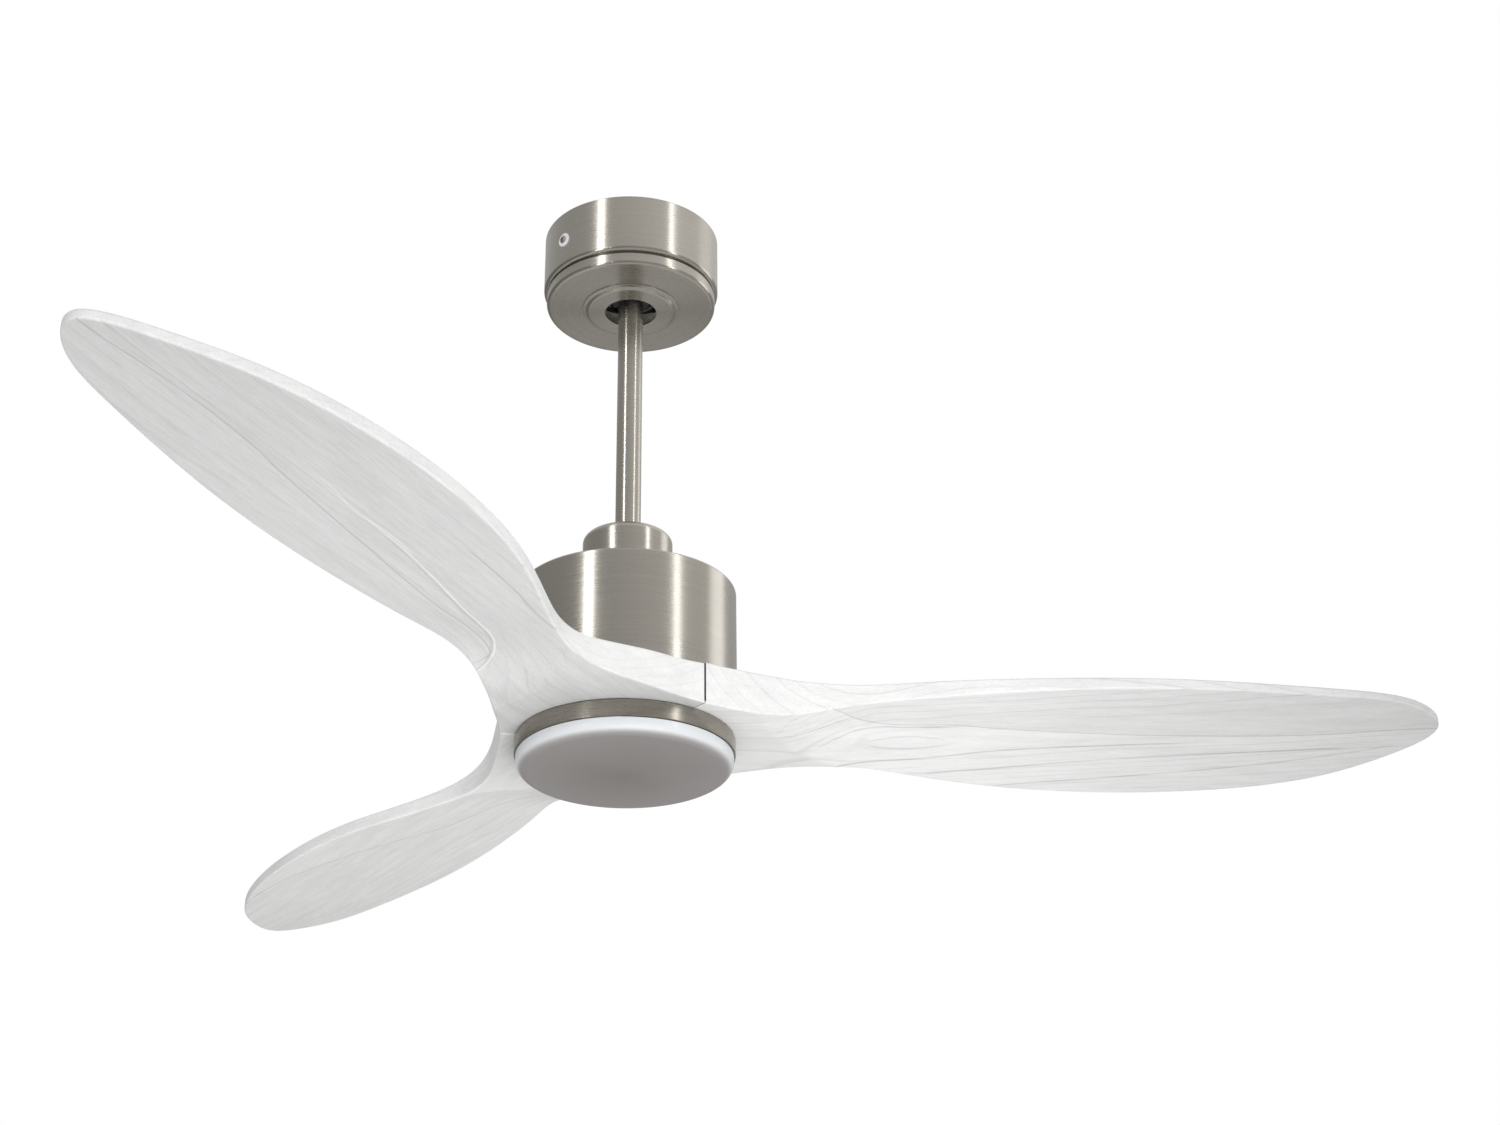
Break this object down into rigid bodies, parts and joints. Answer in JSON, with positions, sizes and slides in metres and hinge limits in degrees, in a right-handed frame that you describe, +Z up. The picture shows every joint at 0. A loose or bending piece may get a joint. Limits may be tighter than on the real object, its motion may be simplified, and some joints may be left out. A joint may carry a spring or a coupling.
{
  "type": "ceiling fan with light",
  "caption": "Ceiling fan on a short downrod: carved wooden blades under a cylindrical brushed-metal motor housing, with a flat round light below and a drum canopy.",
  "frame": {"origin": "centre of the ceiling bracket's top face, in the ceiling plane, on the fan's axis", "axes": "+Z up along the downrod, so the fan lies below the origin; the first blade points near +X"},
  "size_m": [1.0215, 1.1485, 0.4956],
  "materials": {
    "bracket_steel": "steel sheet with a black electrophoretic coat",
    "brushed_nickel": "satin nickel, brushed round the axis",
    "ball_black": "moulded black",
    "rubber_grey": "matt",
    "steel": "machined steel",
    "nylon_white": "natural nylon",
    "whitewashed_wood": "pale whitewashed solid wood, satin",
    "opal": "opal acrylic, glossy",
    "cast_aluminium": "die-cast, as moulded",
    "aluminium_sheet": "rolled sheet",
    "laminated_steel": "stacked electrical steel",
    "copper": "enamelled copper wire",
    "ferrite": "sintered magnet",
    "bearing_steel": "ground and polished",
    "circuit_board": "solder mask",
    "led_board_white": "white solder mask",
    "led_yellow": "phosphor gel",
    "component_black": "moulded epoxy",
    "housing_plastic": "moulded, matt",
    "lead_grey": "soft insulation",
    "gasket": "cork-rubber sheet",
    "brass_screw": "plated"
  },
  "bodies": {
    "ceiling_mount": {"ceiling_bracket": "bracket_steel", "ball_seat": "bracket_steel", "receiver_box": "housing_plastic", "terminal_block": "nylon_white", "terminal_screws": "brass_screw", "supply_leads": "lead_grey", "canopy_shell": "brushed_nickel", "canopy_cover": "brushed_nickel", "canopy_collar": "brushed_nickel", "canopy_screws": "steel", "canopy_washers": "nylon_white"},
    "liner": {"hanger_liner": "rubber_grey"},
    "hanging_frame": {"hanger_ball": "ball_black", "hanger_pin": "steel", "ball_set_screw": "steel", "downrod": "brushed_nickel", "fan_lead": "lead_grey", "lead_connector": "nylon_white", "rod_coupler": "cast_aluminium", "coupler_pin": "steel", "coupler_clip": "steel", "coupler_set_screws": "steel", "coupler_cover": "brushed_nickel", "motor_housing": "brushed_nickel", "housing_screws": "steel", "controller_tray": "cast_aluminium", "controller_board": "circuit_board", "controller_components": "component_black", "shaft": "steel", "shaft_lock_nut": "steel", "shaft_circlips": "steel", "stator_core": "laminated_steel", "stator_coils": "copper", "bearing_inner_races": "bearing_steel", "light_ring": "brushed_nickel", "light_pan": "aluminium_sheet", "light_pan_screws": "steel", "light_pan_nuts": "steel", "led_board": "led_board_white", "led_chips": "led_yellow", "led_connector": "nylon_white"},
    "rotor": {"bearing_outer_races": "bearing_steel", "bearing_balls": "bearing_steel", "rotor_top_shell": "cast_aluminium", "rotor_bottom_shell": "cast_aluminium", "rotor_screws": "steel", "back_iron_ring": "laminated_steel", "magnets": "ferrite", "blade_gasket": "gasket", "blade_clamp_plate": "bracket_steel", "blade_screws": "steel", "blade_1": "whitewashed_wood", "blade_2": "whitewashed_wood", "blade_3": "whitewashed_wood"},
    "diffuser_dish": {"diffuser": "opal"}
  },
  "joints": [
    {"name": "sway_across", "type": "hinge", "parent": "ceiling_mount", "child": "liner", "pos_m": [0, 0, -0.038], "axis": [-0.6441, 0.7649, 0], "range_deg": [-12, 12]},
    {"name": "sway_along", "type": "hinge", "parent": "liner", "child": "hanging_frame", "pos_m": [0, 0, -0.038], "axis": [0.7649, 0.6441, 0], "range_deg": [-12, 12]},
    {"name": "blade_spin", "type": "hinge", "parent": "hanging_frame", "child": "rotor", "pos_m": [0, 0, -0.45], "axis": [0, 0, 1], "continuous": true},
    {"name": "diffuser_twist", "type": "hinge", "parent": "hanging_frame", "child": "diffuser_dish", "pos_m": [0, 0, -0.485], "axis": [0, 0, 1], "range_deg": [0, 18]}
  ]
}
